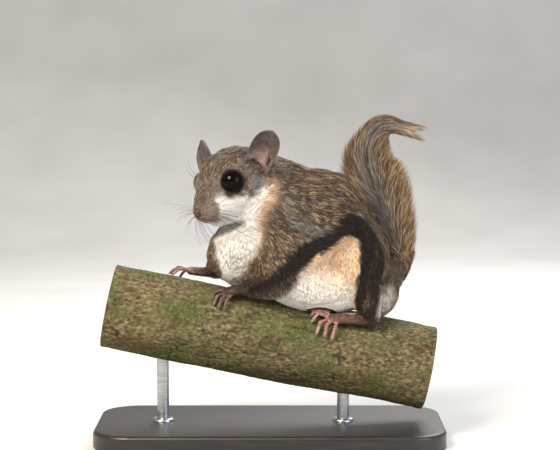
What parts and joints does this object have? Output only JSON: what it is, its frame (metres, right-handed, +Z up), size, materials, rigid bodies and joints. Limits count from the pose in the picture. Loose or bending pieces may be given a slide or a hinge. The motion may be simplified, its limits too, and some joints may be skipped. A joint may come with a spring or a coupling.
{
  "type": "flying squirrel",
  "caption": "Life-size still model of a flying squirrel crouched on a cut length of branch, which short rods hold above a flat display stand.",
  "frame": {"origin": "centre of the display stand's underside, which is also the bottom centre of the whole model's box", "axes": "+Z up; the squirrel faces -X with its left side towards -Y, its head turned about forty degrees to the left; the branch runs along X and slopes down towards +X"},
  "size_m": [0.142, 0.07, 0.133],
  "materials": {
    "coat": "soft grey-brown fur, white below",
    "bare_skin": "thin pinkish-brown skin",
    "eye": "wet gloss black-brown",
    "bark": "rough mossy bark, sawn ends",
    "stand_wood": "black stained, satin",
    "stand_metal": "plain"
  },
  "bodies": {
    "root": {"trunk": "coat", "head": "coat", "neck": "coat", "upper_arm_left": "coat", "upper_arm_right": "coat", "forearm_left": "coat", "forearm_right": "coat", "thigh_left": "coat", "thigh_right": "coat", "shank_left": "coat", "shank_right": "coat", "membrane_left": "coat", "membrane_right": "coat", "tail_base": "coat", "tail_middle": "coat", "tail_tip": "coat", "ear_left": "bare_skin", "ear_right": "bare_skin", "nose": "bare_skin", "hand_left": "bare_skin", "hand_right": "bare_skin", "foot_left": "bare_skin", "foot_right": "bare_skin", "eye_left": "eye", "eye_right": "eye", "perch_branch": "bark", "stand_base": "stand_wood", "stand_rod_front": "stand_metal", "stand_rod_rear": "stand_metal"}
  },
  "joints": []
}
